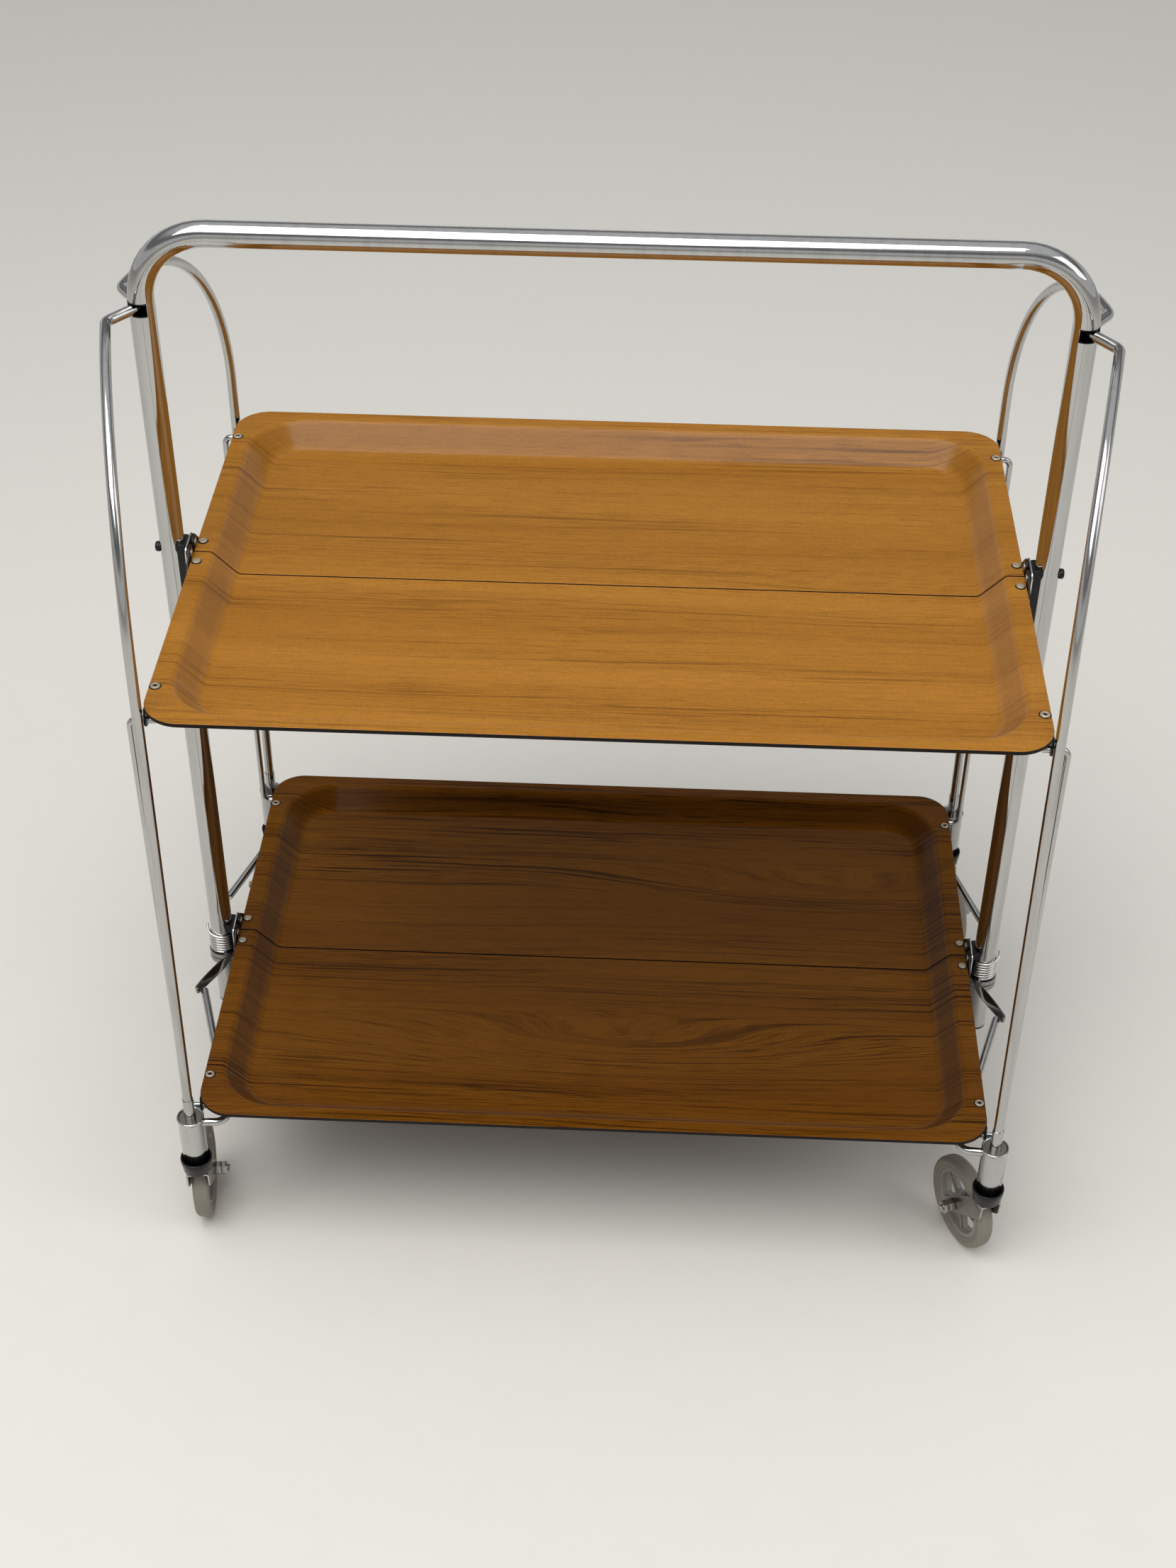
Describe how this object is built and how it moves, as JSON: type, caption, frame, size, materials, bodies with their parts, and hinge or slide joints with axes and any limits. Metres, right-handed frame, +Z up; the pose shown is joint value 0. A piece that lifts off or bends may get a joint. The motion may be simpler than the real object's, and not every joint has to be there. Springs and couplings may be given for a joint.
{
  "type": "folding serving trolley",
  "caption": "Folding serving trolley with split trays that fold up in a V inside a bent tube frame on swivel casters.",
  "frame": {"origin": "floor level under the middle of the frame, halfway between the tube legs and on the seam", "axes": "+X to the right along the trays, +Y to the rear, +Z up"},
  "size_m": [0.6748, 0.4234, 0.7684],
  "materials": {
    "chrome": "polished chrome plate",
    "black_plastic": "satin black moulding",
    "teak_laminate": "satin golden woodgrain laminate on moulded board",
    "dark_teak_laminate": "satin dark brown woodgrain laminate on moulded board",
    "black_steel": "black enamelled sheet steel",
    "zinc_steel": "zinc plated steel",
    "grey_rubber": "grey rubber tyre",
    "grey_plastic": "grey moulded wheel centre"
  },
  "bodies": {
    "frame": {"main_tube": "chrome", "tube_end_plugs": "black_plastic", "rod_slot_linings": "black_plastic", "leg_sleeves": "chrome", "sleeve_bushes": "zinc_steel", "caster_cups": "black_plastic", "brace_rods": "chrome", "hub_levers": "chrome", "left_coil_spring": "chrome", "right_coil_spring": "chrome", "upper_hinge_blocks": "black_plastic", "lower_hinge_blocks": "black_plastic", "upper_hinge_plates": "black_steel", "lower_hinge_plates": "black_steel", "hinge_pins": "zinc_steel", "cross_bolts": "zinc_steel", "bolt_caps": "black_plastic", "front_left_leg_rod": "chrome", "front_right_leg_rod": "chrome", "rear_left_leg_rod": "chrome", "rear_right_leg_rod": "chrome"},
    "upper_front_half": {"upper_front_tray": "teak_laminate", "upper_front_rivets": "zinc_steel", "upper_front_hinge_brackets": "black_steel", "upper_front_corner_brackets": "black_steel"},
    "lower_front_half": {"lower_front_tray": "dark_teak_laminate", "lower_front_rivets": "zinc_steel", "lower_front_hinge_brackets": "black_steel", "lower_front_corner_brackets": "black_steel"},
    "front_left_link": {"front_left_link_rod": "chrome"},
    "front_left_caster": {"front_left_caster_fork": "zinc_steel", "front_left_caster_axle": "zinc_steel"},
    "front_left_wheel": {"front_left_wheel_centre": "grey_plastic", "front_left_tyre": "grey_rubber"},
    "front_right_link": {"front_right_link_rod": "chrome"},
    "front_right_caster": {"front_right_caster_fork": "zinc_steel", "front_right_caster_axle": "zinc_steel"},
    "front_right_wheel": {"front_right_wheel_centre": "grey_plastic", "front_right_tyre": "grey_rubber"},
    "upper_rear_half": {"upper_rear_tray": "teak_laminate", "upper_rear_rivets": "zinc_steel", "upper_rear_hinge_brackets": "black_steel", "upper_rear_corner_brackets": "black_steel"},
    "lower_rear_half": {"lower_rear_tray": "dark_teak_laminate", "lower_rear_rivets": "zinc_steel", "lower_rear_hinge_brackets": "black_steel", "lower_rear_corner_brackets": "black_steel"},
    "rear_left_link": {"rear_left_link_rod": "chrome"},
    "rear_left_caster": {"rear_left_caster_fork": "zinc_steel", "rear_left_caster_axle": "zinc_steel"},
    "rear_left_wheel": {"rear_left_wheel_centre": "grey_plastic", "rear_left_tyre": "grey_rubber"},
    "rear_right_link": {"rear_right_link_rod": "chrome"},
    "rear_right_caster": {"rear_right_caster_fork": "zinc_steel", "rear_right_caster_axle": "zinc_steel"},
    "rear_right_wheel": {"rear_right_wheel_centre": "grey_plastic", "rear_right_tyre": "grey_rubber"}
  },
  "joints": [
    {"name": "upper_front_fold", "type": "hinge", "parent": "frame", "child": "upper_front_half", "pos_m": [0, -0.0075, 0.5153], "axis": [-1, 0, 0], "range_deg": [0, 90]},
    {"name": "lower_front_fold", "type": "hinge", "parent": "frame", "child": "lower_front_half", "pos_m": [0, -0.0075, 0.1443], "axis": [-1, 0, 0], "range_deg": [0, 90]},
    {"name": "front_left_link_pivot", "type": "hinge", "parent": "upper_front_half", "child": "front_left_link", "pos_m": [-0.2992, -0.186, 0.499], "axis": [-1, 0, 0], "range_deg": [-90, 0]},
    {"name": "front_right_link_pivot", "type": "hinge", "parent": "upper_front_half", "child": "front_right_link", "pos_m": [0.2992, -0.186, 0.499], "axis": [-1, 0, 0], "range_deg": [-90, 0]},
    {"name": "upper_rear_fold", "type": "hinge", "parent": "frame", "child": "upper_rear_half", "pos_m": [0, 0.0075, 0.5153], "axis": [1, 0, 0], "range_deg": [0, 90]},
    {"name": "lower_rear_fold", "type": "hinge", "parent": "frame", "child": "lower_rear_half", "pos_m": [0, 0.0075, 0.1443], "axis": [1, 0, 0], "range_deg": [0, 90]},
    {"name": "rear_left_link_pivot", "type": "hinge", "parent": "upper_rear_half", "child": "rear_left_link", "pos_m": [-0.2992, 0.186, 0.499], "axis": [1, 0, 0], "range_deg": [-90, 0]},
    {"name": "rear_right_link_pivot", "type": "hinge", "parent": "upper_rear_half", "child": "rear_right_link", "pos_m": [0.2992, 0.186, 0.499], "axis": [1, 0, 0], "range_deg": [-90, 0]},
    {"name": "front_left_caster_swivel", "type": "hinge", "parent": "frame", "child": "front_left_caster", "pos_m": [-0.306, -0.1995, 0.09], "axis": [0, 0, 1], "continuous": true},
    {"name": "front_left_wheel_spin", "type": "hinge", "parent": "front_left_caster", "child": "front_left_wheel", "pos_m": [-0.30953, -0.17072, 0.0375], "axis": [-0.9925, -0.1219, 0], "continuous": true},
    {"name": "front_right_caster_swivel", "type": "hinge", "parent": "frame", "child": "front_right_caster", "pos_m": [0.306, -0.1995, 0.09], "axis": [0, 0, 1], "continuous": true},
    {"name": "front_right_wheel_spin", "type": "hinge", "parent": "front_right_caster", "child": "front_right_wheel", "pos_m": [0.29374, -0.17322, 0.0375], "axis": [-0.9063, -0.4226, 0], "continuous": true},
    {"name": "rear_left_caster_swivel", "type": "hinge", "parent": "frame", "child": "rear_left_caster", "pos_m": [-0.306, 0.1995, 0.09], "axis": [0, 0, 1], "continuous": true},
    {"name": "rear_left_wheel_spin", "type": "hinge", "parent": "rear_left_caster", "child": "rear_left_wheel", "pos_m": [-0.30903, 0.17066, 0.0375], "axis": [0.9945, -0.1045, 0], "continuous": true},
    {"name": "rear_right_caster_swivel", "type": "hinge", "parent": "frame", "child": "rear_right_caster", "pos_m": [0.306, 0.1995, 0.09], "axis": [0, 0, 1], "continuous": true},
    {"name": "rear_right_wheel_spin", "type": "hinge", "parent": "rear_right_caster", "child": "rear_right_wheel", "pos_m": [0.31104, 0.17094, 0.0375], "axis": [0.9848, 0.1736, 0], "continuous": true}
  ],
  "couplings": [
    {"joint": "lower_front_fold", "follows": "upper_front_fold", "ratio": 1},
    {"joint": "front_left_link_pivot", "follows": "upper_front_fold", "ratio": -1},
    {"joint": "front_right_link_pivot", "follows": "upper_front_fold", "ratio": -1},
    {"joint": "lower_rear_fold", "follows": "upper_rear_fold", "ratio": 1},
    {"joint": "rear_left_link_pivot", "follows": "upper_rear_fold", "ratio": -1},
    {"joint": "rear_right_link_pivot", "follows": "upper_rear_fold", "ratio": -1}
  ]
}
